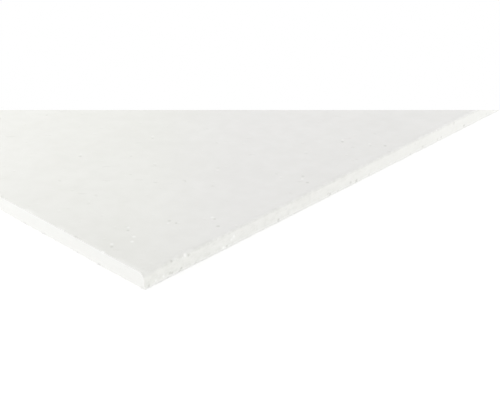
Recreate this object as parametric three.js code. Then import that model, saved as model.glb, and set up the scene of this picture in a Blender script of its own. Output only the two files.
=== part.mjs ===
// A drywall sheet, lying flat on its back with its face side up.
//
// Millimetres. +X runs across the sheet, +Y along it, and +Z up through its face. The origin is the
// centre of the back, the side that it lies on.
//
// The sheet is one solid of one section. Its two long edges are formed against the guides of the
// board line: each is a plain upright band, with a small rounded arris where it turns into the face
// and a tighter one where it turns under to the back. Its two ends are cut square across, so their
// arrises are sharp and their outline is the section itself.

import * as THREE from "three";

// Driving dimensions
const SHEET_WIDTH = 1200;
const SHEET_LENGTH = 2400;
const SHEET_THICKNESS = 12.5;
const FACE_ARRIS_RADIUS = 1.5;
const BACK_ARRIS_RADIUS = 1;

// How finely a rounded arris is divided. Each division gives two flats.
const ARRIS_DIVISIONS = 6;

const QUARTER_TURN = Math.PI / 2;

// Off-white face, with the dry, even sheen of uncoated board.
const boardFinish = new THREE.MeshStandardMaterial({
  color: 0xeaebe6,
  roughness: 0.85,
  metalness: 0,
});

// Adds one rounded arris to the section: a quarter turn of the given radius, anticlockwise from
// the start angle. The straight run that leads to it, from the arris before, is added with it.
function addArris(section, centreX, centreZ, radius, startAngle) {
  section.absarc(centreX, centreZ, radius, startAngle, startAngle + QUARTER_TURN);
}

// The section across the sheet, with X across it and Y up through its thickness.
function sheetSection() {
  const faceArrisX = SHEET_WIDTH / 2 - FACE_ARRIS_RADIUS;
  const faceArrisZ = SHEET_THICKNESS - FACE_ARRIS_RADIUS;
  const backArrisX = SHEET_WIDTH / 2 - BACK_ARRIS_RADIUS;
  const backArrisZ = BACK_ARRIS_RADIUS;

  const section = new THREE.Shape();
  addArris(section, backArrisX, backArrisZ, BACK_ARRIS_RADIUS, -QUARTER_TURN);
  addArris(section, faceArrisX, faceArrisZ, FACE_ARRIS_RADIUS, 0);
  addArris(section, -faceArrisX, faceArrisZ, FACE_ARRIS_RADIUS, QUARTER_TURN);
  addArris(section, -backArrisX, backArrisZ, BACK_ARRIS_RADIUS, 2 * QUARTER_TURN);
  section.closePath();
  return section;
}

// The section drawn out to the sheet's length, centred on the origin, with its ends square.
function drywallSheet() {
  const geometry = new THREE.ExtrudeGeometry(sheetSection(), {
    depth: SHEET_LENGTH,
    steps: 1,
    curveSegments: ARRIS_DIVISIONS,
    bevelEnabled: false,
  });
  geometry.rotateX(QUARTER_TURN);
  const sheet = new THREE.Mesh(geometry, boardFinish);
  sheet.name = "drywall_sheet";
  sheet.position.y = SHEET_LENGTH / 2;
  return sheet;
}

const group = new THREE.Group();
group.add(drywallSheet());

export default group;
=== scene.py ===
# %% [markdown]
# # A drywall sheet
# The real thing is one flat piece of stock: a slab of set gypsum with a smooth paper face that
# wraps round its two long edges, and two ends where a knife has cut it to length. It has no parts
# to assemble, so everything that makes it look real is in its edges and its finishes. This
# notebook takes the sheet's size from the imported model, models its surface again with worn
# arrises, marks and cut gypsum ends, and gives it three finishes.

# %% The frame
import math
import random

import bpy
import numpy as np
from mathutils import Matrix, Vector
from mathutils.geometry import delaunay_2d_cdt


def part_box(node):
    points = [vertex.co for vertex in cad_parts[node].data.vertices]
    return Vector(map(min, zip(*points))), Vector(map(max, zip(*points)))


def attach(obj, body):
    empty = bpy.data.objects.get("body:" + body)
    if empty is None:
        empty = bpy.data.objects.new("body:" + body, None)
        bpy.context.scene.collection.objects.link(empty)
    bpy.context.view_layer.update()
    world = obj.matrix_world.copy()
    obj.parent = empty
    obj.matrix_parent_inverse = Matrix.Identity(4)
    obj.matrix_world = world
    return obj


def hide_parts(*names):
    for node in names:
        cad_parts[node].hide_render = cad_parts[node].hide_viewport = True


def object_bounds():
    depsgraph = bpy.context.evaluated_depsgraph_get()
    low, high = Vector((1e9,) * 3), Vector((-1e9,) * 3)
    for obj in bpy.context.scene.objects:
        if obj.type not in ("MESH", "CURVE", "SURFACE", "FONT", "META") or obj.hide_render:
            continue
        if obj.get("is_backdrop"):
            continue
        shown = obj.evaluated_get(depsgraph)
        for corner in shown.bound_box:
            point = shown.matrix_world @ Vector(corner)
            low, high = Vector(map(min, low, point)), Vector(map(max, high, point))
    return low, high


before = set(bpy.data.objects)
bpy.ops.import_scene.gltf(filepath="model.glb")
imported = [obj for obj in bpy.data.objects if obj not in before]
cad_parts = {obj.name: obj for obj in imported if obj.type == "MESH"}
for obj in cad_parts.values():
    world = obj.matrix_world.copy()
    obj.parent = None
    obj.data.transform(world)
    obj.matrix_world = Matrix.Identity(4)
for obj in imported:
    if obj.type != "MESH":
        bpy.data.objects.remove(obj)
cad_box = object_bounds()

MM = 0.001
SAME_PLACE = 0.001 * MM

# %% [markdown]
# ## Sizes
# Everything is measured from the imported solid, so that the dressed sheet has the same section. The
# face is flat as far as the arris, so the widest point at the top height gives the face arris's
# radius, and the widest point at the bottom gives the back arris's.

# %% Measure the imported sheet
NODE = "drywall_sheet"
high_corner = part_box(NODE)[1]
HALF_WIDTH = high_corner.x
HALF_LENGTH = high_corner.y
THICKNESS = high_corner.z


def flat_half_width(height):
    """Half the width of the solid's flat side at that height."""
    corners = [v.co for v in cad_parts[NODE].data.vertices]
    return max(c.x for c in corners if abs(c.z - height) < SAME_PLACE)


FACE_ARRIS = HALF_WIDTH - flat_half_width(THICKNESS)
BACK_ARRIS = HALF_WIDTH - flat_half_width(0.0)
print(f"sheet {2 * HALF_WIDTH:.3f} x {2 * HALF_LENGTH:.3f} x {THICKNESS:.4f} m,",
      f"arrises {FACE_ARRIS / MM:.2f} and {BACK_ARRIS / MM:.2f} mm")

# %% [markdown]
# ## The camera
# The camera looks down on one corner of the sheet from about 0.7 m away, with a fairly long
# lens, so the long edge runs off to the right and the cut end to the left. It is placed by the
# corner: its distance, the two angles of view, and the spot in the picture where the corner falls.
# The camera's own place is worked out from these.

# %% Camera
PICTURE_WIDTH = 500
PICTURE_HEIGHT = 400
SENSOR_MM = 36.0
VIEW_AZIMUTH = math.radians(43.76)
VIEW_ELEVATION = math.radians(26.99)
CORNER_DISTANCE = 0.700
FOCAL_PIXELS = 1058.0
CORNER_PIXEL = (144.5, 290.55)

view_forward = Vector((
    -math.sin(VIEW_AZIMUTH) * math.cos(VIEW_ELEVATION),
    math.cos(VIEW_AZIMUTH) * math.cos(VIEW_ELEVATION),
    -math.sin(VIEW_ELEVATION),
))
view_right = Vector((math.cos(VIEW_AZIMUTH), math.sin(VIEW_AZIMUTH), 0.0))
view_up = view_right.cross(view_forward)


def pixel_ray(column, row):
    """The direction through a pixel, as long as one metre of depth."""
    across = (column - PICTURE_WIDTH / 2) / FOCAL_PIXELS
    down = (row - PICTURE_HEIGHT / 2) / FOCAL_PIXELS
    return view_forward + view_right * across - view_up * down


near_corner = Vector((HALF_WIDTH, -HALF_LENGTH, 0.0))
camera_place = near_corner - pixel_ray(*CORNER_PIXEL) * CORNER_DISTANCE
camera_data = bpy.data.cameras.new("camera")
camera_data.sensor_width = SENSOR_MM
camera_data.lens = FOCAL_PIXELS / PICTURE_WIDTH * SENSOR_MM
camera = bpy.data.objects.new("camera", camera_data)
camera.matrix_world = Matrix.Translation(camera_place) @ view_forward.to_track_quat(
    "-Z", "Y").to_matrix().to_4x4()
bpy.context.scene.collection.objects.link(camera)
bpy.context.scene.camera = camera
print(f"camera at {tuple(round(c, 3) for c in camera_place)}, lens {camera_data.lens:.1f} mm")

# %% [markdown]
# ## The section, unrolled
# Face paper goes round a board as one strip, so the surface is easiest to lay out unrolled. Let
# `u` be the distance round the section from the middle of the face, and `v` the distance along the
# sheet. One function rolls `u` back up into the section: face, face arris, upright band, back
# arris, back. It works on whole arrays, because the mesh has tens of thousands of points.

# %% Roll the strip round the section
QUARTER = math.pi / 2
FACE_END = HALF_WIDTH - FACE_ARRIS
BAND_START = FACE_END + QUARTER * FACE_ARRIS
BAND_END = BAND_START + THICKNESS - FACE_ARRIS - BACK_ARRIS
BACK_START = BAND_END + QUARTER * BACK_ARRIS
STRIP_HALF = BACK_START + HALF_WIDTH - BACK_ARRIS


def rolled(u):
    """(x, z, outward x, outward z) for distances u round the section."""
    side = np.sign(u)
    s = np.abs(u)
    face_turn = (s - FACE_END) / FACE_ARRIS
    back_turn = (s - BAND_END) / BACK_ARRIS
    zones = [s <= FACE_END, s < BAND_START, s <= BAND_END, s < BACK_START]
    x = np.select(zones, [
        s,
        FACE_END + FACE_ARRIS * np.sin(face_turn),
        HALF_WIDTH + 0 * s,
        HALF_WIDTH - BACK_ARRIS + BACK_ARRIS * np.cos(back_turn),
    ], STRIP_HALF - s)
    z = np.select(zones, [
        THICKNESS + 0 * s,
        THICKNESS - FACE_ARRIS + FACE_ARRIS * np.cos(face_turn),
        THICKNESS - FACE_ARRIS - (s - BAND_START),
        BACK_ARRIS - BACK_ARRIS * np.sin(back_turn),
    ], 0 * s)
    out_x = np.select(zones, [0 * s, np.sin(face_turn), 1 + 0 * s, np.cos(back_turn)], 0)
    out_z = np.select(zones, [1 + 0 * s, np.cos(face_turn), 0 * s, -np.sin(back_turn)], -1)
    return side * x, z, side * out_x, out_z


print(f"strip round the section is {2 * STRIP_HALF:.4f} m")

# %% [markdown]
# ## Wear
# A board is handled by its edges, so that is where it is marked. Each mark here is a nick: a small
# dent that pushes the surface into the body and leaves a little grime, or bares the white gypsum.
# The lower arris of a long edge is dragged over floors and stacks and has the most. A cut end
# crumbles a little where the knife broke out. Nicks are drawn by a seeded generator, so that they
# fall in the same places each time. Each reaches one to three millimetres or so from its middle.

# %% Nicks along the arrises
WEAR_SEED = 12
FOOT_LEAN = 0.7
TOP_LEAN = -0.8
CUT_FOOT_LEAN = 0.6
wear = random.Random(WEAR_SEED)


class Nick:
    """A dent: its place, its way in, how far it reaches, how deep it is, and what it shows."""

    def __init__(self, place, inward, reach, depth, grime_and_shade=0.0, bare_and_highlight=0.0):
        self.place = np.array(place)
        self.inward = np.array(inward) / np.linalg.norm(inward)
        self.reach = reach
        self.depth = depth
        self.grime_and_shade = grime_and_shade
        self.bare_and_highlight = bare_and_highlight


def nicks_along(start, end, inward, spacing, reaches, depth_share, grimes, lift=0.0):
    """Nicks on the arris from start to end, or up to lift above it, about a spacing apart."""
    start, end = np.array(start), np.array(end)
    length = np.linalg.norm(end - start)
    made = []
    at = wear.uniform(0.2, 1.0) * spacing
    while at < length:
        reach = wear.uniform(*reaches)
        depth = reach * depth_share * wear.uniform(0.6, 1.0)
        place = start + (end - start) * (at / length) + np.array([0, 0, wear.uniform(0, lift)])
        made.append(Nick(place, inward, reach, depth, wear.uniform(*grimes)))
        at += spacing * wear.uniform(0.35, 1.65)
    return made


long_nicks = {1: [], -1: []}
for side in long_nicks:
    edge_x = side * HALF_WIDTH
    long_nicks[side] += nicks_along(
        (edge_x, -HALF_LENGTH, 0), (edge_x, HALF_LENGTH, 0), (-side, 0, FOOT_LEAN),
        spacing=24 * MM, reaches=(1.1 * MM, 2.9 * MM), depth_share=0.42, grimes=(0.35, 1.0),
        lift=1.6 * MM)
    long_nicks[side] += nicks_along(
        (edge_x, -HALF_LENGTH, THICKNESS), (edge_x, HALF_LENGTH, THICKNESS),
        (-side, 0, TOP_LEAN),
        spacing=95 * MM, reaches=(1.2 * MM, 3.0 * MM), depth_share=0.22, grimes=(0.0, 0.35))

end_nicks = {1: [], -1: []}
for side in end_nicks:
    end_y = side * HALF_LENGTH
    end_nicks[side] += nicks_along(
        (-HALF_WIDTH, end_y, 0), (HALF_WIDTH, end_y, 0), (0, -side, CUT_FOOT_LEAN),
        spacing=32 * MM, reaches=(1.0 * MM, 2.8 * MM), depth_share=0.30, grimes=(0.0, 0.3))
    end_nicks[side] += nicks_along(
        (-HALF_WIDTH, end_y, THICKNESS), (HALF_WIDTH, end_y, THICKNESS),
        (0, -side, TOP_LEAN),
        spacing=48 * MM, reaches=(0.9 * MM, 2.2 * MM), depth_share=0.26, grimes=(0.0, 0.25))

nick_count = sum(len(n) for n in (*long_nicks.values(), *end_nicks.values()))
print(f"{nick_count} nicks in the arrises")

# %% [markdown]
# ## Marks near the close corner
# The corner nearest the camera is looked at closely, so its marks are finer and more of them are
# true dents. Flecks of bark and ink have dropped out of the face and left small hollows, painted
# dark as painted shade, often with a spot beside them painted pale as a painted highlight. The long
# edge is knocked along its foot and rubbed white in spots. Forty marks have places of their own,
# each two distances in millimetres. They have to be taken as another program's and not as this
# script's own: before they were last moved, 15 were the same as a row that it had made, and 38 lay
# within 2 mm of one. The script also runs with the six lists empty. A generator with its own seed
# draws the other marks, and every mark's size and strength. Those it draws along the edge each get
# a stretch of it, so that they don't bunch. The nicks drawn before give way to all these, except
# along the foot of the cut end.

# %% Marks with places of their own
# Hollows in the face are painted dark as painted shade, and the spots beside them pale as painted
# highlights.
# On the face: from the long edge, from the cut end.
HOLLOW_PLACES = [(53.5, 32), (43.5, 9), (43, 62), (37, 63), (21.5, 86.5), (12, 80.5),
                 (12.5, 178), (22.5, 184), (42.5, 257), (11.5, 275)]
HIGHLIGHT_PLACES = [(56.5, 35), (46.5, 11.5), (41, 59), (24.5, 87), (43.5, 29), (39, 23.5),
              (19.5, 180), (44.5, 260)]
# On the long edge: up from the floor, from the cut end.
KNOCK_PLACES = [(2, 77.5), (1, 32), (2.5, 33.5), (1.5, 4), (12, 25), (2.5, 25), (10, 40.5),
                (2, 131.5), (2, 191), (2, 223.5), (3, 341), (3, 376)]
RUB_PLACES = [(3, 10.5), (11.5, 38), (2, 74.5), (5.5, 82.5), (7, 85), (3.5, 17.5), (12, 334)]
# On the cut end: up from the floor, from the long edge.
CHIP_PLACES = [(12.5, 73), (1, 2)]
CUT_RUB_PLACES = [(12.5, 42.5)]

# %% How marks are made
MARK_SEED = 3
REACHES = (1.3 * MM, 2.0 * MM)
FACE_DEPTH = 0.12
EDGE_DEPTH = 0.25
# How dark the hollows are painted, as painted shade, and how pale the painted highlights beside them
# are.
HOLLOW_SHADE = (0.45, 0.7)
HIGHLIGHT_SHOWS = (0.5, 0.85)
KNOCK_SHOWS = (0.4, 0.7)
BARE_SHOWS = (0.75, 1.0)
HARDLY_SHOWS = (0.15, 0.5)
CLOSE_STRETCH = 430 * MM
CLOSE_CUT = 170 * MM
CLOSE_WIDTH = 330 * MM
TOP_ZONE = 10 * MM
FOOT_ZONE = 3.5 * MM
NEAREST = 6 * MM
LOWEST = 0.5 * MM
LOW_SHARE = 0.8
# How many drawn hollows get a painted highlight beside them, and how far aside it lies.
HIGHLIGHT_SHARE = 0.6
HIGHLIGHT_ASIDE = 3 * MM
HOLLOWS_DRAWN = 20
KNOCKS_DRAWN = 18
RUBS_DRAWN = 8
CHIPS_DRAWN = 5
marking = random.Random(MARK_SEED)


def inward_at(height):
    """How much up or down a nick in an edge goes in, for its height above the floor."""
    return TOP_LEAN * (height > TOP_ZONE) + FOOT_LEAN * (height < FOOT_ZONE)


def face_mark(from_edge, from_end, shown, strengths):
    """A hollow in the face painted dark as painted shade, or a flat spot painted pale as a painted
    highlight.
    """
    place = (HALF_WIDTH - from_edge, from_end - HALF_LENGTH, THICKNESS)
    reach = marking.uniform(*REACHES)
    depth = FACE_DEPTH * reach if shown == "grime_and_shade" else 0.0
    return Nick(place, (0, 0, -1), reach, depth, **{shown: marking.uniform(*strengths)})


def edge_mark(place, inward, shown, strengths):
    """A knock in an edge that holds dirt, or a spot rubbed pale."""
    reach = marking.uniform(*REACHES)
    strength = marking.uniform(*strengths)
    lean = inward_at(place[2])
    return Nick(place, (*inward, lean), reach, EDGE_DEPTH * strength * reach, **{shown: strength})


def height_drawn():
    """A height for a mark in an edge: most are near the foot, and the rest near the top."""
    low = marking.random() < LOW_SHARE
    return marking.uniform(LOWEST, FOOT_ZONE) if low else marking.uniform(TOP_ZONE, THICKNESS)


# %% Marks in the face
face_marks = []
for from_edge, from_end in HOLLOW_PLACES:
    face_marks.append(face_mark(from_edge * MM, from_end * MM, "grime_and_shade", HOLLOW_SHADE))
for from_edge, from_end in HIGHLIGHT_PLACES:
    face_marks.append(face_mark(from_edge * MM, from_end * MM, "bare_and_highlight", HIGHLIGHT_SHOWS))
# Drawn hollows, painted dark as painted shade, most with a painted highlight beside them.
for _ in range(HOLLOWS_DRAWN):
    from_edge = marking.uniform(NEAREST, CLOSE_WIDTH)
    from_end = marking.uniform(NEAREST, CLOSE_STRETCH)
    face_marks.append(face_mark(from_edge, from_end, "grime_and_shade", HARDLY_SHOWS))
    if marking.random() < HIGHLIGHT_SHARE:
        aside = marking.choice((-HIGHLIGHT_ASIDE, HIGHLIGHT_ASIDE))
        face_marks.append(face_mark(from_edge + aside, from_end + aside, "bare_and_highlight", HARDLY_SHOWS))
print(f"{len(face_marks)} marks in the face")

# %% Marks in the long edge
edge_marks = []
for shown, places, strengths, drawn in (
        ("grime_and_shade", KNOCK_PLACES, KNOCK_SHOWS, KNOCKS_DRAWN),
        ("bare_and_highlight", RUB_PLACES, BARE_SHOWS, RUBS_DRAWN)):
    for up, from_end in places:
        place = (HALF_WIDTH, from_end * MM - HALF_LENGTH, up * MM)
        edge_marks.append(edge_mark(place, (-1, 0), shown, strengths))
    for number in range(drawn):
        from_end = (number + marking.random()) * CLOSE_STRETCH / drawn
        place = (HALF_WIDTH, from_end - HALF_LENGTH, height_drawn())
        edge_marks.append(edge_mark(place, (-1, 0), shown, HARDLY_SHOWS))
long_nicks[1] = edge_marks + [
    n for n in long_nicks[1] if n.place[1] > CLOSE_STRETCH - HALF_LENGTH]
print(f"{len(edge_marks)} marks in the long edge")

# %% Marks in the cut end
cut_marks = []
for shown, places, strengths in (
        ("grime_and_shade", CHIP_PLACES, KNOCK_SHOWS),
        ("bare_and_highlight", CUT_RUB_PLACES, BARE_SHOWS)):
    for up, from_edge in places:
        place = (HALF_WIDTH - from_edge * MM, -HALF_LENGTH, up * MM)
        cut_marks.append(edge_mark(place, (0, 1), shown, strengths))
for _ in range(CHIPS_DRAWN):
    place = (HALF_WIDTH - marking.uniform(0, CLOSE_CUT), -HALF_LENGTH, THICKNESS)
    cut_marks.append(edge_mark(place, (0, 1), "grime_and_shade", HARDLY_SHOWS))
end_nicks[-1] = cut_marks + [
    n for n in end_nicks[-1] if n.place[0] < HALF_WIDTH - CLOSE_CUT or n.place[2] == 0]
print(f"{len(cut_marks)} marks in the cut end")

# %% [markdown]
# ## Laying out the points
# A flat board needs few points in the middle of its face and many at its edges. So each zone gets
# its own spacing: close rows round the arrises, stations that crowd together at every nick and
# towards the ends, and a wide loose grid over the face. A Delaunay triangulation then joins any
# such set of points into well shaped triangles, with no need for the zones to match row by row.

# %% Stations that crowd together where there is detail
CLOSEST = 0.2 * MM
NICK_SHARES = (-1.0, -0.7, -0.4, -0.13, 0.13, 0.4, 0.7, 1.0)
END_STATIONS = (0.35, 0.8, 1.4, 2.2, 3.2, 4.4, 5.8, 7.5, 9.5, 12.0, 15.0, 19.0, 24.0)


def stations(low, high, step, nicks=(), ends=()):
    """Places from low to high, a step apart, closer at each (place, reach) and near both ends."""
    places = list(np.linspace(low, high, max(2, round((high - low) / step) + 1)))
    for place, reach in nicks:
        places += [place + reach * share for share in NICK_SHARES]
    for inset in ends:
        places += [low + inset * MM, high - inset * MM]
    kept = [low]
    for place in sorted(places):
        if place - kept[-1] >= CLOSEST and high - place >= CLOSEST:
            kept.append(place)
    return np.array(kept + [high])


def grid(across, along):
    """Every pairing of a place across and a place along, as rows of (u, v)."""
    u, v = np.meshgrid(across, along)
    return np.column_stack([u.ravel(), v.ravel()])


# %% Points on the unrolled strip
EDGE_STEP = 8 * MM
END_STEP = 3 * MM
FACE_STEP = 45 * MM
LAP_WIDTH = 25 * MM
CORNER_REACH = 24 * MM
PAST_ARRIS = 1.5 * MM
FACE_ROW = 12 * MM
BACK_ROW = 8 * MM
END_ROW = 14 * MM
face_rows = np.array([4.0, 1.8, 0.7]) * MM
end_rows = np.array([0.0, 0.35, 0.8, 1.6, 3.0, 5.5]) * MM
edge_rows = np.concatenate([
    FACE_END - face_rows,
    np.linspace(FACE_END, BAND_START, 6),
    np.linspace(BAND_START, BAND_END, 8)[1:],
    np.linspace(BAND_END, BACK_START, 5)[1:],
    [BACK_START + PAST_ARRIS],
])
strip_points = []
for side in (1, -1):
    nicks = [(n.place[1], n.reach) for n in long_nicks[side]]
    along = stations(-HALF_LENGTH, HALF_LENGTH, EDGE_STEP, nicks, END_STATIONS)
    sparse = stations(-HALF_LENGTH, HALF_LENGTH, 3 * EDGE_STEP, ends=END_STATIONS)
    strip_points += [
        grid(side * edge_rows, along),
        grid([side * (FACE_END - FACE_ROW), side * (BACK_START + BACK_ROW)], sparse),
        grid([side * (BACK_START + LAP_WIDTH)], sparse),
        grid([side * STRIP_HALF], stations(-HALF_LENGTH, HALF_LENGTH, FACE_STEP)),
    ]

for end in (1, -1):
    end_y = end * HALF_LENGTH
    over = [(n.place[0], n.reach) for n in end_nicks[end] if n.place[2] > 0]
    across = stations(face_rows[0] - FACE_END, FACE_END - face_rows[0], END_STEP, over)
    strip_points.append(grid(across, end_y - end * end_rows))
    strip_points.append(grid(across[::6], [end_y - end * END_ROW]))
    for side in (1, -1):
        under = [(STRIP_HALF - side * n.place[0], n.reach) for n in end_nicks[end]
                 if n.place[2] == 0 and n.place[0] * side > 0]
        across = side * stations(BACK_START + PAST_ARRIS, STRIP_HALF, END_STEP, under)
        strip_points.append(grid(across, end_y - end * end_rows[:4]))
        corner_u = side * np.linspace(FACE_END - 7.5 * MM, FACE_END - face_rows[-1], 11)
        band_u = side * np.linspace(BAND_START, BAND_END, 17)
        corner_v = end_y - end * np.linspace(0.8 * MM, CORNER_REACH, 20)
        strip_points.append(grid(np.concatenate([corner_u, band_u]), corner_v))

# %% [markdown]
# ## Rings round the marks
# A mark is a few millimetres wide, far smaller than the grid over the face, so it needs points of
# its own before it can be a hollow. Each gets a point in its middle and three rings, on the
# unrolled strip, where a circle stays a circle. Rings follow a round dent with fewer points than a
# fine grid would.

# %% Rings round the marks
RINGS = ((0.35, 6), (0.7, 8), (1.0, 10))
END_CLEARANCE = 0.1 * MM
for nick in (*face_marks, *edge_marks):
    place_x, place_v, place_z = nick.place
    on_face = place_x < HALF_WIDTH
    place_u = place_x if on_face else BAND_START + THICKNESS - FACE_ARRIS - place_z
    ring_points = [(place_u, place_v)]
    for share, count in RINGS:
        for turn in np.arange(count) * math.tau / count:
            ring_points.append((place_u + share * nick.reach * math.cos(turn),
                                place_v + share * nick.reach * math.sin(turn)))
    ring_points = np.array(ring_points)
    strip_points.append(ring_points[np.abs(ring_points[:, 1]) < HALF_LENGTH - END_CLEARANCE])

# %% The loose middle of the face and back
MARGIN = 30 * MM
STRIP_CLOSEST = 0.05 * MM
inner_along = stations(MARGIN - HALF_LENGTH, HALF_LENGTH - MARGIN, FACE_STEP)
strip_points.append(grid(stations(MARGIN - FACE_END, FACE_END - MARGIN, FACE_STEP), inner_along))
for side in (1, -1):
    across = stations(BACK_START + LAP_WIDTH + FACE_STEP, STRIP_HALF - FACE_STEP, 2 * FACE_STEP)
    strip_points.append(grid(side * across, inner_along[::2]))


def thinned(points, closest):
    """The points without any that lies closer than that to one before it, by cell."""
    cells = np.round(points / closest).astype(np.int64)
    first = np.unique(cells, axis=0, return_index=True)[1]
    return points[np.sort(first)]


strip = thinned(np.concatenate(strip_points), STRIP_CLOSEST)
print(f"{len(strip)} points on the strip")

# %% [markdown]
# ## Pushing the points in
# Wear only ever takes material away, so each kind of wear moves points into the body: never out,
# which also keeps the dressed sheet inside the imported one. There are five kinds. Nicks and marks
# are dents. Long edges and knife cuts wander by a fraction of a millimetre. The face arris of a
# long edge is worn rounder in some stretches than in others, with a small ripple. The cut arrises
# are eased and crumble in places, because dry gypsum breaks at a sharp edge. And each corner is
# knocked soft, with a round that fades out along the long edge. To round an arris, the square
# section in front of it is mapped onto a quarter disc, for any spacing of the points.

# %% Helpers for wear
SWAY_WAVES = 5
ABOVE_ZERO = 1e-12
EASED_CUT = 0.12 * MM


def sway(longest, shortest):
    """A wandering function from 0 to 1, a sum of waves between those two lengths."""
    waves = []
    for _ in range(SWAY_WAVES):
        length = shortest * (longest / shortest) ** wear.random()
        waves.append((math.tau / length, wear.uniform(0, math.tau)))
    return lambda at: sum(0.5 + 0.5 * np.sin(k * at + phase) for k, phase in waves) / SWAY_WAVES


def rounded(a, b, radius, already=0.0):
    """Insets a and b from two sides that meet, once their arris is rounded to a larger radius."""
    off_a = radius - a
    off_b = radius - b
    within = (off_a > 0) & (off_b > 0)
    far = np.maximum(np.hypot(off_a, off_b), ABOVE_ZERO)
    longer = np.maximum(off_a, off_b) / far
    shorter = np.minimum(off_a, off_b) / far
    centre = radius - already
    lean = centre * (longer + shorter)
    to_side = radius / np.maximum(longer, ABOVE_ZERO)
    to_arris = lean + np.sqrt(np.maximum(lean ** 2 - 2 * centre ** 2 + already ** 2, 0))
    scale = radius / np.where(to_side * shorter > centre, np.maximum(to_arris, ABOVE_ZERO), to_side)
    return np.where(within, radius - off_a * scale, a), np.where(within, radius - off_b * scale, b)


# %% The wear on every point of the surface
CORNER_SOFT = {(1, -1): 5.6 * MM, (-1, -1): 4.2 * MM, (1, 1): 3.0 * MM, (-1, 1): 4.8 * MM}
CORNER_UPRIGHT = 0.5 * MM
EDGE_SWAY = 0.25 * MM
ARRIS_SWAY = 1.6 * MM
ARRIS_RIPPLE = 0.6 * MM
CUT_SWAY = 0.35 * MM
CUT_RIPPLE = 0.20 * MM
CUT_CRUMBLE = 1.3 * MM
SWAY_REACH = 6 * MM
edge_sways = {side: (sway(260 * MM, 18 * MM), sway(200 * MM, 14 * MM)) for side in (1, -1)}
arris_sways = {side: sway(120 * MM, 11 * MM) for side in (1, -1)}
arris_ripples = {side: sway(16 * MM, 6 * MM) for side in (1, -1)}
cut_sways = {end: (sway(500 * MM, 40 * MM), sway(30 * MM, 5 * MM)) for end in (1, -1)}
crumbles = {end: (sway(20 * MM, 7 * MM), sway(20 * MM, 7 * MM)) for end in (1, -1)}


def worn(points):
    """The points after wear, with the dirt and painted shade of each, and its rubbed white and
    painted highlight.
    """
    x, y, z = points.T
    side = np.where(x >= 0, 1, -1)
    end = np.where(y >= 0, 1, -1)
    in_x = HALF_WIDTH - np.abs(x)
    in_y = HALF_LENGTH - np.abs(y)
    height = z / THICKNESS
    for s, (top_sway, low_sway) in edge_sways.items():
        wander = height * top_sway(y) + (1 - height) * low_sway(y)
        in_x = in_x + (side == s) * EDGE_SWAY * wander * np.clip(1 - in_x / SWAY_REACH, 0, 1)
    for e, (slow, quick) in cut_sways.items():
        wander = CUT_SWAY * slow(x) + CUT_RIPPLE * quick(x + 2 * z)
        in_y = in_y + (end == e) * wander * np.clip(1 - in_y / SWAY_REACH, 0, 1)
    soft = np.select([(side == s) & (end == e) for s, e in CORNER_SOFT], CORNER_SOFT.values())
    near_end = (1 - np.clip(in_y / CORNER_REACH, 0, 1) ** 2) ** 2
    worn_arris = sum((side == s) * (FACE_ARRIS + ARRIS_SWAY * turn(y) ** 2
                                    + ARRIS_RIPPLE * arris_ripples[s](y) ** 2)
                     for s, turn in arris_sways.items())
    arris = worn_arris + (soft - worn_arris) * near_end
    in_x, in_z = rounded(in_x, THICKNESS - z, arris, FACE_ARRIS)
    in_x, in_y = rounded(in_x, in_y, CORNER_UPRIGHT)
    top_eased, low_eased = (
        EASED_CUT + CUT_CRUMBLE * sum(
            (end == e) * pair[part](x) ** 2 for e, pair in crumbles.items())
        for part in (0, 1))
    in_z, in_y = rounded(in_z, in_y, top_eased)
    up, in_y = rounded(THICKNESS - in_z, in_y, low_eased)
    moved = np.column_stack([side * (HALF_WIDTH - in_x), end * (HALF_LENGTH - in_y), up])
    grime_and_shade, bare_and_highlight = np.zeros((2, len(points)))
    for nick in (*long_nicks[1], *long_nicks[-1], *end_nicks[1], *end_nicks[-1], *face_marks):
        near = np.flatnonzero(np.abs(points - nick.place).max(axis=1) < nick.reach)
        apart = np.linalg.norm(points[near] - nick.place, axis=1) / nick.reach
        share = np.clip(1 - apart ** 2, 0, 1) ** 1.5
        moved[near] += nick.inward * (nick.depth * share)[:, None]
        grime_and_shade[near] = np.maximum(grime_and_shade[near], nick.grime_and_shade * share)
        bare_and_highlight[near] = np.maximum(bare_and_highlight[near], nick.bare_and_highlight * share)
    return moved, grime_and_shade, bare_and_highlight


# %% [markdown]
# ## The cut end
# Where the knife has been through, the gypsum shows: fine-grained, a little uneven, and pitted
# with the small bubbles that make a board light. The end is filled in with its own points, inside
# the outline that the strip leaves. A bubble is a ring of points with one deeper point in the
# middle, so each is a true hollow in the mesh, and its middle is painted darker too, as painted
# shade.

# %% Points inside the section
PITS_PER_END = 420
PIT_RADII = (0.22 * MM, 0.5 * MM)
PIT_SIDES = 6
RING_INSET = 0.4 * MM
CUT_GRID = 1.8 * MM
CUT_ROWS = 7
PIT_DEPTH_SHARE = 0.75


def depth_inside(x, z):
    """How far inside the section's outline each point lies."""
    radius = np.where(z > THICKNESS / 2, FACE_ARRIS, BACK_ARRIS)
    past_x = np.abs(x) - (HALF_WIDTH - radius)
    past_z = np.abs(z - THICKNESS / 2) - (THICKNESS / 2 - radius)
    outer = np.hypot(np.maximum(past_x, 0), np.maximum(past_z, 0))
    return radius - outer - np.minimum(np.maximum(past_x, past_z), 0)


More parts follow.
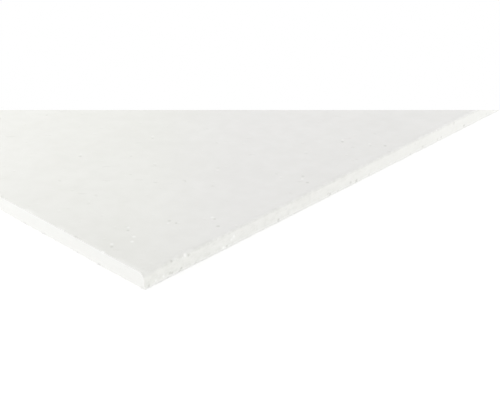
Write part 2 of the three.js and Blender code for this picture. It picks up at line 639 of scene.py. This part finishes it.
def cut_points():
    """Points (x, z) inside the section, with how deep each is pitted by a bubble."""
    rng = np.random.default_rng(wear.randrange(10 ** 6))
    pit_x = rng.uniform(-HALF_WIDTH, HALF_WIDTH, PITS_PER_END)
    pit_z = rng.uniform(0, THICKNESS, PITS_PER_END)
    pit_r = rng.uniform(*PIT_RADII, PITS_PER_END)
    clear = depth_inside(pit_x, pit_z) > pit_r + 2 * RING_INSET
    pits = []
    for x, z, r in zip(pit_x[clear], pit_z[clear], pit_r[clear]):
        if all(math.hypot(x - px, z - pz) > 1.3 * (r + pr) for px, pz, pr in pits[-40:]):
            pits.append((x, z, r))
    pits = np.array(sorted(pits))
    spokes = np.arange(PIT_SIDES) * math.tau / PIT_SIDES
    turns = spokes + rng.uniform(0, math.tau, len(pits))[:, None]
    rings = np.column_stack([
        (pits[:, :1] + pits[:, 2:] * np.cos(turns)).ravel(),
        (pits[:, 1:2] + pits[:, 2:] * np.sin(turns)).ravel(),
    ])
    across = np.arange(-HALF_WIDTH, HALF_WIDTH, CUT_GRID)
    up = np.linspace(2.6 * RING_INSET, THICKNESS - 2.6 * RING_INSET, CUT_ROWS)
    loose = grid(across, up)
    loose += rng.uniform(-0.25, 0.25, loose.shape) * CUT_GRID
    loose = loose[depth_inside(*loose.T) > 2 * RING_INSET]
    near = np.searchsorted(pits[:, 0], loose[:, 0])
    keep = np.ones(len(loose), bool)
    for shift in range(-4, 5):
        pit = pits[np.clip(near + shift, 0, len(pits) - 1)]
        keep &= np.hypot(loose[:, 0] - pit[:, 0], loose[:, 1] - pit[:, 1]) > 1.5 * pit[:, 2]
    loose = loose[keep]
    flat = np.concatenate([rings, loose])
    depth = np.concatenate([PIT_DEPTH_SHARE * pits[:, 2], np.zeros(len(flat))])
    return np.concatenate([pits[:, :2], flat]), depth


# %% [markdown]
# ## One closed surface
# The strip and the two ends become one mesh. Points that share a place, along the ends' outlines
# and down the seam in the middle of the back, are merged into one, so that the surface is closed.
# Then the wear moves the points, and each triangle gets its finish: paper on the strip, gypsum
# on the ends, and back liner beyond the lap on the underside.

# %% Build the mesh
PAPER, CORE, LINER = 0, 1, 2


def triangles(points, loop=()):
    """Triangles that join the points, kept inside the loop of edges if there is one."""
    edges = [(a, b) for a, b in zip(loop, [*loop[1:], *loop[:1]])]
    kind = 1 if edges else 0
    found = delaunay_2d_cdt([Vector(p) for p in points], edges, [], kind, 1e-9)
    if len(found[0]) != len(points):
        raise ValueError(f"{len(points)} points became {len(found[0])}")
    return np.array(found[2])


strip_faces = triangles(strip)
u, v = strip.T
x, z, out_x, out_z = rolled(u)
places = [np.column_stack([x, v, z])]
faces = [strip_faces]
middle_u = np.abs(u[strip_faces]).mean(axis=1)
slots = [np.where(middle_u > BACK_START + LAP_WIDTH, LINER, PAPER)]
pit_depths = [np.zeros(len(strip))]
for end in (1, -1):
    rim = np.flatnonzero(np.abs(v - end * HALF_LENGTH) < SAME_PLACE)
    rim = rim[np.argsort(u[rim])][:-1]
    ring = np.column_stack([x[rim] - RING_INSET * out_x[rim], z[rim] - RING_INSET * out_z[rim]])
    inner, depth = cut_points()
    section = np.concatenate([np.column_stack([x[rim], z[rim]]), ring, inner])
    section_faces = triangles(section, list(range(len(rim))))
    start = sum(len(p) for p in places)
    places.append(np.column_stack([
        section[:, 0], np.full(len(section), end * HALF_LENGTH), section[:, 1]]))
    faces.append(start + (section_faces if end < 0 else section_faces[:, ::-1]))
    slots.append(np.full(len(section_faces), CORE))
    pit_depths.append(np.concatenate([np.zeros(len(section) - len(depth)), depth]))
places, faces = np.concatenate(places), np.concatenate(faces)
slots, pit_depths = np.concatenate(slots), np.concatenate(pit_depths)
print(f"{len(places)} points and {len(faces)} triangles before merging")

# %% Merge, wear and make the object
SHARP_ANGLE = math.radians(28)
# How dark the middle of each bubble is painted: painted shade in the hollow.
PIT_SHADE = 0.35
keys = np.round(places / SAME_PLACE).astype(np.int64)
_, first, shared = np.unique(keys, axis=0, return_index=True, return_inverse=True)
shared = shared.ravel()
moved, grime_and_shade, bare_and_highlight = worn(places[first])
end_of = np.sign(moved[:, 1])
moved[:, 1] -= end_of * pit_depths[first]
# The middles of the bubbles are painted darker: painted shade.
grime_and_shade = np.maximum(grime_and_shade, PIT_SHADE * (pit_depths[first] > 0))
faces = shared[faces]

sheet_mesh = bpy.data.meshes.new("drywall_sheet")
sheet_mesh.from_pydata(moved.tolist(), [], faces.tolist())
sheet_mesh.polygons.foreach_set("material_index", slots.astype(np.int32))
sheet_mesh.polygons.foreach_set("use_smooth", np.ones(len(faces), bool))
# Dirt in knocks with painted shade in hollows and bubbles, and rubbed white with painted highlights,
# kept on the mesh.
for name, amounts in (("soil", grime_and_shade), ("chalk", bare_and_highlight)):
    attribute = sheet_mesh.attributes.new(name, "FLOAT", "POINT")
    attribute.data.foreach_set("value", amounts.astype(np.float32))
sheet_mesh.set_sharp_from_angle(angle=SHARP_ANGLE)
sheet_mesh.update()
sheet = bpy.data.objects.new("sheet", sheet_mesh)
bpy.context.scene.collection.objects.link(sheet)
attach(sheet, "root")
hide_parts(NODE)

edge_ends = np.concatenate([faces[:, [0, 1]], faces[:, [1, 2]], faces[:, [2, 0]]])
_, uses = np.unique(np.sort(edge_ends, axis=1), axis=0, return_counts=True)
corners = moved[faces]
volume = np.einsum("ij,ij->i", corners[:, 0], np.cross(corners[:, 1], corners[:, 2])).sum() / 6
print(f"{len(moved)} points, {len(faces)} triangles, {(uses != 2).sum()} open edges,",
      f"{volume * 1000:.3f} litres")

# %% [markdown]
# ## Writing finishes as sums
# A finish is a handful of patterns added together, and reads best as arithmetic. A `Wire` stands
# for one socket of a material, and adding or multiplying two of them makes the node that does it.
# A `Finish` makes every other kind of node through one method, which takes the node's own settings
# first and then what goes into its sockets.

# %% Wires and finishes
class Wire:
    """One output of a node, which can be added, subtracted and multiplied."""

    def __init__(self, finish, socket):
        self.finish = finish
        self.socket = socket

    def maths(self, operation, first, second):
        """One Math node."""
        return self.finish.node("ShaderNodeMath", {"operation": operation}, {0: first, 1: second})

    def __add__(self, other):
        return self.maths("ADD", self, other)

    def __radd__(self, other):
        return self.maths("ADD", other, self)

    def __sub__(self, other):
        return self.maths("SUBTRACT", self, other)

    def __rsub__(self, other):
        return self.maths("SUBTRACT", other, self)

    def __mul__(self, other):
        return self.maths("MULTIPLY", self, other)

    def __rmul__(self, other):
        return self.maths("MULTIPLY", other, self)

    def __abs__(self):
        return self.maths("ABSOLUTE", self, 0.0)

    def beside(self, output):
        """Another output of the same node."""
        return Wire(self.finish, self.socket.node.outputs[output])

    def above(self, low, high):
        """0 below low, 1 above high, and a smooth climb between them."""
        settings = {"interpolation_type": "SMOOTHSTEP"}
        return self.finish.node("ShaderNodeMapRange", settings, {0: self, 1: low, 2: high})


class Finish:
    """The nodes of a material, or of the world, being made."""

    def __init__(self, owner):
        self.owner = owner
        owner.use_nodes = True
        self.tree = owner.node_tree
        self.tree.nodes.clear()

    def node(self, kind, settings=None, inputs=None, output=0):
        """A new node of that kind, and the wire from one of its outputs."""
        made = self.tree.nodes.new(kind)
        for name, value in (settings or {}).items():
            setattr(made, name, value)
        for name, value in (inputs or {}).items():
            if isinstance(value, Wire):
                self.tree.links.new(value.socket, made.inputs[name])
            else:
                made.inputs[name].default_value = value
        return Wire(self, made.outputs[output]) if made.outputs else None

    def place(self):
        """Where on the object the point is, in metres."""
        return self.node("ShaderNodeTexCoord", output="Object")

    def noise(self, size, detail=2.0, roughness=0.5, place=None):
        """Cloudy noise from 0 to 1, with features of about that size in metres."""
        return self.node("ShaderNodeTexNoise", {}, {
            "Vector": place or self.place(),
            "Scale": 1 / size,
            "Detail": detail,
            "Roughness": roughness,
        })

    def shaken(self, size, reach):
        """The place, moved about by noise of that size, as far as that reach."""
        shake = self.node("ShaderNodeTexNoise", {}, {
            "Vector": self.place(), "Scale": 1 / size, "Detail": 1.0}, output="Color")
        return self.node("ShaderNodeVectorMath", {"operation": "MULTIPLY_ADD"}, {
            0: shake, 1: (2 * reach, 2 * reach, 2 * reach), 2: self.place()})

    def flecks(self, radius, apart, stretch=1.0, turn=0.0, aside=(0, 0, 0)):
        """Ragged flecks scattered through space, each of its own strength from 0 to 1.

        Stretch makes them that many times longer than wide, in the direction turn, and aside
        moves them all by as much.
        """
        place = self.node("ShaderNodeMapping", {"vector_type": "TEXTURE"}, {
            "Vector": self.shaken(1.6 * radius, 0.9 * radius),
            "Location": aside,
            "Rotation": (0, 0, turn),
            "Scale": (stretch, 1, 1),
        })
        distance = self.node("ShaderNodeTexVoronoi", {}, {"Vector": place, "Scale": 1 / apart})
        strength = self.node("ShaderNodeSeparateColor", {}, {0: distance.beside("Color")})
        return strength * (1 - distance.above(0.15 * radius / apart, radius / apart))

    def tint(self, amount, under, over):
        """The colour under, covered by the colour over by that amount."""
        settings = {"data_type": "RGBA"}
        return self.node("ShaderNodeMix", settings, {0: amount, 6: under, 7: over}, output=2)

    def relief(self, height, depth):
        """A normal for a surface that stands up by height, from 0 to 1, times depth in metres."""
        return self.node("ShaderNodeBump", {}, {"Strength": 1.0, "Distance": depth,
                                                "Height": height})

    def coated(self, colour, roughness, normal, gloss):
        """Finish the material as one plain surface, and hand it over."""
        surface = self.node("ShaderNodeBsdfPrincipled", {}, {
            "Base Color": colour,
            "Roughness": roughness,
            "Normal": normal,
            "Specular IOR Level": gloss,
        })
        self.node("ShaderNodeOutputMaterial", {}, {"Surface": surface})
        return self.owner


# %% [markdown]
# ## Face paper
# The face is covered in off-white paper made from recycled stock, so it is never one colour. It
# has broad clouds where the fibres lie thicker, a fine fibre grain, and scattered flecks of ink
# and bark. Noise gives the clouds and the grain. Cells of a Voronoi pattern give the flecks: one
# fleck to a cell, each of its own strength. The paper is also a little yellowed beyond a line that
# slants across the face, as where a sheet has lain half covered in the light.

# %% Clouds and fibre
PAPER_COLOUR = (0.832, 0.827, 0.813, 1.0)
CLOUD_COLOUR = (0.792, 0.787, 0.769, 1.0)
AGED_COLOUR = (0.745, 0.820, 0.570, 1.0)
AGED_LINE = HALF_WIDTH - HALF_LENGTH
CLOUD_SHIFT = (-1.66, -1.05, 1.21)
CLOUD_SIZE = 90 * MM
WISP_SIZE = 13 * MM
FIBRE_SIZE = 0.9 * MM

face_paper = Finish(bpy.data.materials.new("face_paper"))
across = face_paper.node("ShaderNodeSeparateXYZ", {}, {0: face_paper.place()})
along, height = across.beside("Y"), across.beside("Z")
drifted = face_paper.node("ShaderNodeVectorMath", {"operation": "ADD"}, {
    0: face_paper.place(), 1: CLOUD_SHIFT})
wisps = face_paper.noise(WISP_SIZE, detail=3)
clouds = 0.5 * face_paper.noise(CLOUD_SIZE, place=drifted) + 0.5 * wisps
fibre = face_paper.noise(FIBRE_SIZE, detail=3, roughness=0.6)
aged = 1 - (across + along).above(AGED_LINE - 40 * MM, AGED_LINE + 110 * MM)
colour = face_paper.tint(0.9 * clouds.above(0.3, 0.7), PAPER_COLOUR, CLOUD_COLOUR)
colour = face_paper.tint(0.10 * fibre.above(0.45, 0.75), colour, CLOUD_COLOUR)
colour = face_paper.tint(0.075 * aged, colour, AGED_COLOUR)

# %% [markdown]
# ## Flecks in the face
# There are four kinds of fleck. Hollows are where a large one has come out, and specks are smaller
# ones still in place: the hollows are painted dark as painted shade, and both have a spot beside
# them painted pale as a painted highlight, which is the same pattern moved aside. Slivers and
# shreds are long, thin and faint, lying under the surface in two directions. Near the close corner,
# where the hollows are true dents, a mask leaves out the ones that are only colour and makes the
# specks fainter.

# %% Hollows, specks, slivers and shreds
# Fleck colour, also used as painted shade in the hollows; the pale colour is for painted highlights.
FLECK_AND_SHADE_COLOUR = (0.42, 0.42, 0.37, 1.0)
HIGHLIGHT_COLOUR = (0.93, 0.93, 0.91, 1.0)
MASK_FADE = 20 * MM
HOLLOW = {"radius": 2.3 * MM, "apart": 19.5 * MM}
SPECK = {"radius": 1.6 * MM, "apart": 10 * MM}
SPECKS_LEFT = 0.6

far_along = along.above(CLOSE_STRETCH - HALF_LENGTH, CLOSE_STRETCH + MASK_FADE - HALF_LENGTH)
near_edge = across.above(HALF_WIDTH - CLOSE_WIDTH - MASK_FADE, HALF_WIDTH - CLOSE_WIDTH)
strewn = 1 - near_edge * (1 - far_along)
half_strewn = SPECKS_LEFT + (1 - SPECKS_LEFT) * strewn
# The hollows get painted shade, and the same patterns moved aside get painted highlights.
hollows = strewn * face_paper.flecks(**HOLLOW)
specks = half_strewn * face_paper.flecks(**SPECK)
hollow_highlights = strewn * face_paper.flecks(**HOLLOW, aside=(1.6 * MM, -1.6 * MM, 0))
speck_highlights = half_strewn * face_paper.flecks(**SPECK, aside=(-1.3 * MM, 1.3 * MM, 0))
slivers = face_paper.flecks(1.7 * MM, 13 * MM, stretch=3.2, turn=math.radians(45))
shreds = face_paper.flecks(1.4 * MM, 15 * MM, stretch=2.4, turn=math.radians(-20))
colour = face_paper.tint(0.22 * slivers, colour, FLECK_AND_SHADE_COLOUR)
colour = face_paper.tint(0.22 * shreds, colour, FLECK_AND_SHADE_COLOUR)
# Painted highlights beside the hollows and the specks.
colour = face_paper.tint(0.9 * hollow_highlights, colour, HIGHLIGHT_COLOUR)
colour = face_paper.tint(0.6 * speck_highlights, colour, HIGHLIGHT_COLOUR)
colour = face_paper.tint(0.20 * specks, colour, FLECK_AND_SHADE_COLOUR)
# The hollows painted dark: painted shade in the colour of the flecks.
colour = face_paper.tint(0.45 * hollows, colour, FLECK_AND_SHADE_COLOUR)
print("face paper so far:", len(face_paper.tree.nodes), "nodes")

# %% [markdown]
# ## Scuffs, dust and painted light
# A long edge is what a sheet is carried and stood on, so its paper is marked: grey scuffs drawn
# out along the edge, pale spots where it is rubbed, and most of both near the corners. White dust
# from cutting sits in patches on the face beside a cut. The upright band is painted paler all over
# than the face, as painted light, and paler still along its foot, as painted light against the
# shade where it meets the floor. The face beside the arris and the turn of the arris are painted
# greyer, as painted shade broken up by the scuff pattern. Each is placed by a mask of where it is
# on the sheet. The nicks and marks made earlier carry their own dirt and painted shade, and their
# own rubbed white and painted highlights, as attributes of the mesh.

# %% Masks for the edges
GRIME_AND_SHADE_COLOUR = (0.50, 0.50, 0.46, 1.0)
DUST_AND_LIGHT_COLOUR = (0.93, 0.93, 0.91, 1.0)
CHALK_AND_LIGHT_COLOUR = (0.96, 0.96, 0.94, 1.0)


def foot_painted_light(height):
    """1 along the foot of an edge, where the colour is painted paler as painted light, and 0 from a
    few millimetres up.
    """
    return 1 - height.above(0.5 * MM, 3 * MM)


band = abs(across).above(HALF_WIDTH - 1.2 * MM, HALF_WIDTH - 0.3 * MM)
beside_arris_shade = abs(across).above(HALF_WIDTH - 7 * MM, HALF_WIDTH - 2 * MM) * (1 - band)
handled = 0.4 + 0.6 * abs(along).above(HALF_LENGTH - 300 * MM, HALF_LENGTH - 60 * MM)
upright = 1 - height.above(THICKNESS - 2.6 * MM, THICKNESS - 1.2 * MM)
arris_turn_shade = abs(across).above(HALF_WIDTH - 2.4 * MM, HALF_WIDTH - 1.2 * MM) * (1 - upright)
beside_cut = abs(along).above(HALF_LENGTH - 5 * MM, HALF_LENGTH - 1 * MM)

# %% Scuffs, dust and marks in the face paper
DRAWN_OUT = (1.0, 0.5, 0.8)
dragged = face_paper.node("ShaderNodeVectorMath", {"operation": "MULTIPLY"}, {
    0: face_paper.place(), 1: DRAWN_OUT})
scuffs = face_paper.noise(3.0 * MM, detail=4, roughness=0.55, place=dragged)
rubbed = face_paper.noise(1.5 * MM, detail=2)
cut_dust = beside_cut * face_paper.noise(14 * MM, detail=3).above(0.42, 0.60)
# Dirt in knocks and painted shade in hollows; rubbed white and painted highlights.
dirt_and_shade = face_paper.node("ShaderNodeAttribute", {"attribute_name": "soil"}, output="Fac")
rubs_and_highlights = face_paper.node("ShaderNodeAttribute", {"attribute_name": "chalk"}, output="Fac")
colour = face_paper.tint(0.4 * cut_dust, colour, DUST_AND_LIGHT_COLOUR)
# The upright band painted paler all over than the face: painted light on the same paper.
colour = face_paper.tint(0.27 * band * upright, colour, CHALK_AND_LIGHT_COLOUR)
# The turn of the arris painted greyer: painted shade, broken up by the scuff pattern.
colour = face_paper.tint(0.10 * arris_turn_shade * scuffs.above(0.35, 0.65), colour, GRIME_AND_SHADE_COLOUR)
colour = face_paper.tint(0.045 * band, colour, AGED_COLOUR)
# The face beside the arris painted greyer: painted shade, broken up by the scuff pattern.
colour = face_paper.tint(0.06 * beside_arris_shade * scuffs.above(0.35, 0.6), colour, GRIME_AND_SHADE_COLOUR)
colour = face_paper.tint(0.14 * band * handled * scuffs.above(0.42, 0.68), colour, GRIME_AND_SHADE_COLOUR)
colour = face_paper.tint(0.6 * band * handled * rubbed.above(0.62, 0.72), colour, DUST_AND_LIGHT_COLOUR)
# Paler along the foot of the band: painted light against the shade where it meets the floor.
colour = face_paper.tint(0.74 * band * foot_painted_light(height), colour, DUST_AND_LIGHT_COLOUR)
# Rubbed white on the edges, and painted highlights beside the hollows in the face.
colour = face_paper.tint(rubs_and_highlights, colour, CHALK_AND_LIGHT_COLOUR)
# Dirt in the knocks, and painted shade in the hollows of the face.
colour = face_paper.tint(0.8 * dirt_and_shade, colour, GRIME_AND_SHADE_COLOUR)
relief = 0.7 * fibre + 1.4 * band * handled * scuffs - 6 * hollows - 3 * specks
face_material = face_paper.coated(
    colour,
    0.80 + 0.12 * fibre,
    face_paper.relief(relief, 0.05 * MM),
    0.25,
)
print(face_material.name, "has", len(face_paper.tree.nodes), "nodes")

# %% [markdown]
# ## Gypsum core
# Freshly cut gypsum is the whitest thing on a board, whiter than its paper. The knife leaves it
# finely grained, with faint streaks along the cut, and the two papers show at its rim as a thin
# line no thicker than a business card.

# %% Gypsum core
CORE_COLOUR = (0.905, 0.906, 0.884, 1.0)
STREAK_COLOUR = (0.865, 0.865, 0.836, 1.0)
# Painted shade in the bubbles, and dirt in the chips of the cut end.
PIT_SHADE_AND_GRIME_COLOUR = (0.66, 0.66, 0.62, 1.0)
PAPER_THICKNESS = 0.35 * MM

gypsum = Finish(bpy.data.materials.new("gypsum_core"))
height = gypsum.node("ShaderNodeSeparateXYZ", {}, {0: gypsum.place()}, output="Z")
stretched = gypsum.node("ShaderNodeVectorMath", {"operation": "MULTIPLY"}, {
    0: gypsum.place(), 1: (0.25, 1.0, 1.0)})
streaks = gypsum.noise(2.6 * MM, detail=3, place=stretched)
grain = gypsum.noise(0.6 * MM, detail=3, roughness=0.6)
rim = height.above(THICKNESS - 1.2 * PAPER_THICKNESS, THICKNESS - 0.8 * PAPER_THICKNESS)
rim = rim + 1 - height.above(0.8 * PAPER_THICKNESS, 1.2 * PAPER_THICKNESS)
dirt_and_shade = gypsum.node("ShaderNodeAttribute", {"attribute_name": "soil"}, output="Fac")
rubs_and_highlights = gypsum.node("ShaderNodeAttribute", {"attribute_name": "chalk"}, output="Fac")
colour = gypsum.tint(0.3 * streaks.above(0.35, 0.7), CORE_COLOUR, STREAK_COLOUR)
colour = gypsum.tint(0.25 * grain.above(0.5, 0.75), colour, STREAK_COLOUR)
colour = gypsum.tint(0.7 * rim, colour, PAPER_COLOUR)
# Paler along the foot of the cut end: painted light against the shade where it meets the floor.
colour = gypsum.tint(0.8 * foot_painted_light(height), colour, DUST_AND_LIGHT_COLOUR)
colour = gypsum.tint(rubs_and_highlights, colour, CHALK_AND_LIGHT_COLOUR)
# Bubbles painted darker as painted shade, and dirt in the chips.
colour = gypsum.tint(0.7 * dirt_and_shade, colour, PIT_SHADE_AND_GRIME_COLOUR)
core_material = gypsum.coated(
    colour,
    0.86 + 0.1 * grain,
    gypsum.relief(grain, 0.06 * MM),
    0.2,
)
print(core_material.name, "has", len(gypsum.tree.nodes), "nodes")

# %% [markdown]
# ## Back liner
# The back is lined with plainer, coarser paper than the face: a light warm grey with longer fibres
# and more flecks. It lies against the floor here, and against the studs on a wall.

# %% Back liner
LINER_COLOUR = (0.70, 0.69, 0.655, 1.0)
LINER_FIBRE = (0.60, 0.585, 0.54, 1.0)

back_liner = Finish(bpy.data.materials.new("back_liner"))
fibre = back_liner.noise(1.6 * MM, detail=4, roughness=0.65)
clouds = back_liner.noise(40 * MM, detail=2)
colour = back_liner.tint(0.6 * fibre.above(0.45, 0.7), LINER_COLOUR, LINER_FIBRE)
colour = back_liner.tint(0.25 * clouds, colour, LINER_FIBRE)
colour = back_liner.tint(0.5 * back_liner.flecks(0.6 * MM, 7 * MM), colour, FLECK_AND_SHADE_COLOUR)
liner_material = back_liner.coated(
    colour,
    0.84 + 0.12 * fibre,
    back_liner.relief(fibre, 0.08 * MM),
    0.2,
)
for material in (face_material, core_material, liner_material):
    sheet_mesh.materials.append(material)
print(liner_material.name, "has", len(back_liner.tree.nodes), "nodes")

# %% [markdown]
# ## Floor and light
# A white object on a white floor is drawn by small steps of shade alone, so the light is even and
# comes from all round, as in a light tent. The world gives most of it, and is brighter low down
# than overhead, because upright edges see only half of it. A small soft box over the near corner
# pools gently on the face, one low in front lifts the cut end, and one to the right lifts the long
# edge. All three stay out of sight. To the camera, and in gloss, the world is plain white.

# %% World
WORLD_LIGHT = 0.805
LOW_LIGHT = 0.62
WHITE = (1.0, 1.0, 1.0, 1.0)


def seen(finish):
    """1 for the camera, for gloss and for glass, and 0 for the light that falls on things."""
    camera_ray, glossy_ray, glass_ray = (
        finish.node("ShaderNodeLightPath", output=name)
        for name in ("Is Camera Ray", "Is Glossy Ray", "Is Transmission Ray"))
    return 1 - (1 - camera_ray) * (1 - glossy_ray) * (1 - glass_ray)


studio = Finish(bpy.data.worlds.new("studio"))
bpy.context.scene.world = studio.owner
facing = studio.node("ShaderNodeTexCoord", output="Generated")
upward = studio.node("ShaderNodeSeparateXYZ", {}, {0: facing}, output="Z")
low_down = 1 - abs(upward)
tent = WORLD_LIGHT + WORLD_LIGHT * LOW_LIGHT * low_down * low_down
light = studio.node("ShaderNodeBackground", {}, {
    "Color": WHITE,
    "Strength": tent + (1 - tent) * seen(studio),
})
studio.node("ShaderNodeOutputWorld", {}, {"Surface": light})
print(f"world gives {WORLD_LIGHT} of a white page's light")

# %% [markdown]
# ## The floor
# The floor is one wide pale sheet, so that the object throws its soft shadow on something. A matt
# floor alone comes out a little grey. So it also glows faintly, but only to the camera, in gloss
# and through glass: it turns white in the picture, and no light from the glow falls on the object.

# %% Floor
FLOOR_HALF = 14.0
FLOOR_COLOUR = (0.93, 0.93, 0.93, 1.0)
FLOOR_GLOW = 0.18
floor_finish = Finish(bpy.data.materials.new("studio_floor"))
matt = floor_finish.node("ShaderNodeBsdfDiffuse", {}, {"Color": FLOOR_COLOUR})
glow = floor_finish.node("ShaderNodeEmission", {}, {
    "Color": WHITE,
    "Strength": FLOOR_GLOW * seen(floor_finish),
})
surface = floor_finish.node("ShaderNodeAddShader", {}, {0: matt, 1: glow})
floor_finish.node("ShaderNodeOutputMaterial", {}, {"Surface": surface})


def flat_quad(name, corners, material):
    """A flat four-sided object with the given corners, in metres."""
    mesh = bpy.data.meshes.new(name)
    mesh.from_pydata([tuple(c) for c in corners], [], [(0, 1, 2, 3)])
    mesh.materials.append(material)
    made = bpy.data.objects.new(name, mesh)
    bpy.context.scene.collection.objects.link(made)
    return made


floor = flat_quad("studio_floor", [
    (-FLOOR_HALF, -FLOOR_HALF, 0.0),
    (FLOOR_HALF, -FLOOR_HALF, 0.0),
    (FLOOR_HALF, FLOOR_HALF, 0.0),
    (-FLOOR_HALF, FLOOR_HALF, 0.0),
], floor_finish.owner)
floor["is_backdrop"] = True

# %% Soft boxes
def soft_box(name, place, target, width, tall, power):
    """A flat lamp at place that faces target, hidden from the camera."""
    data = bpy.data.lights.new(name, "AREA")
    data.shape = "RECTANGLE"
    data.size = width
    data.size_y = tall
    data.energy = power
    lamp = bpy.data.objects.new(name, data)
    aim = Vector(target) - Vector(place)
    facing = aim.to_track_quat("-Z", "Y").to_matrix().to_4x4()
    lamp.matrix_world = Matrix.Translation(place) @ facing
    lamp.visible_camera = False
    bpy.context.scene.collection.objects.link(lamp)
    return lamp


soft_box("near_box", place=(0.28, -1.20, 0.45), target=(-0.07, -1.23, 0.0),
         width=0.30, tall=0.30, power=0.51)
soft_box("end_box", place=(-0.13, -3.32, 0.60), target=(0.30, -1.20, 0.0),
         width=0.60, tall=0.40, power=4.3)
soft_box("side_box", place=(1.20, -0.33, 0.33), target=(0.60, -0.80, 0.0),
         width=0.90, tall=0.40, power=1.42)

# %% [markdown]
# ## The flag
# Only the near part of the sheet is wanted in the picture, with plain white above it. A studio
# does that with a flag, a card on a stand that hides part of the view. Here the flag is a white
# card about 1.5 mm wide and 0.4 mm tall, hung right in front of the lens, so that it hides whatever
# lies above one line of the picture and is too small to be noticed from anywhere else.

# %% Flag in front of the lens
FLAG_ROW = 110.0
FLAG_MARGIN = 20
FLAG_DISTANCE = 3 * MM
camera_data.clip_start = 1 * MM
flag_finish = Finish(bpy.data.materials.new("flag_card"))
white = flag_finish.node("ShaderNodeEmission", {}, {"Color": WHITE, "Strength": 1.0})
flag_finish.node("ShaderNodeOutputMaterial", {}, {"Surface": white})
flag = flat_quad("flag_card", [
    camera_place + pixel_ray(column, row) * FLAG_DISTANCE
    for column, row in (
        (-FLAG_MARGIN, -FLAG_MARGIN),
        (PICTURE_WIDTH + FLAG_MARGIN, -FLAG_MARGIN),
        (PICTURE_WIDTH + FLAG_MARGIN, FLAG_ROW),
        (-FLAG_MARGIN, FLAG_ROW),
    )
], flag_finish.owner)
for ray in ("diffuse", "glossy", "transmission", "shadow", "volume_scatter"):
    setattr(flag, f"visible_{ray}", False)
flag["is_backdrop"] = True

# %% Picture settings and sizes
bpy.context.scene.view_settings.view_transform = "Standard"
visual_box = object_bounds()
boxes = {"cad": cad_box, "visual": visual_box}
for name, box in boxes.items():
    boxes[name] = [[float(c) for c in corner] for corner in box]
    print(name, boxes[name])
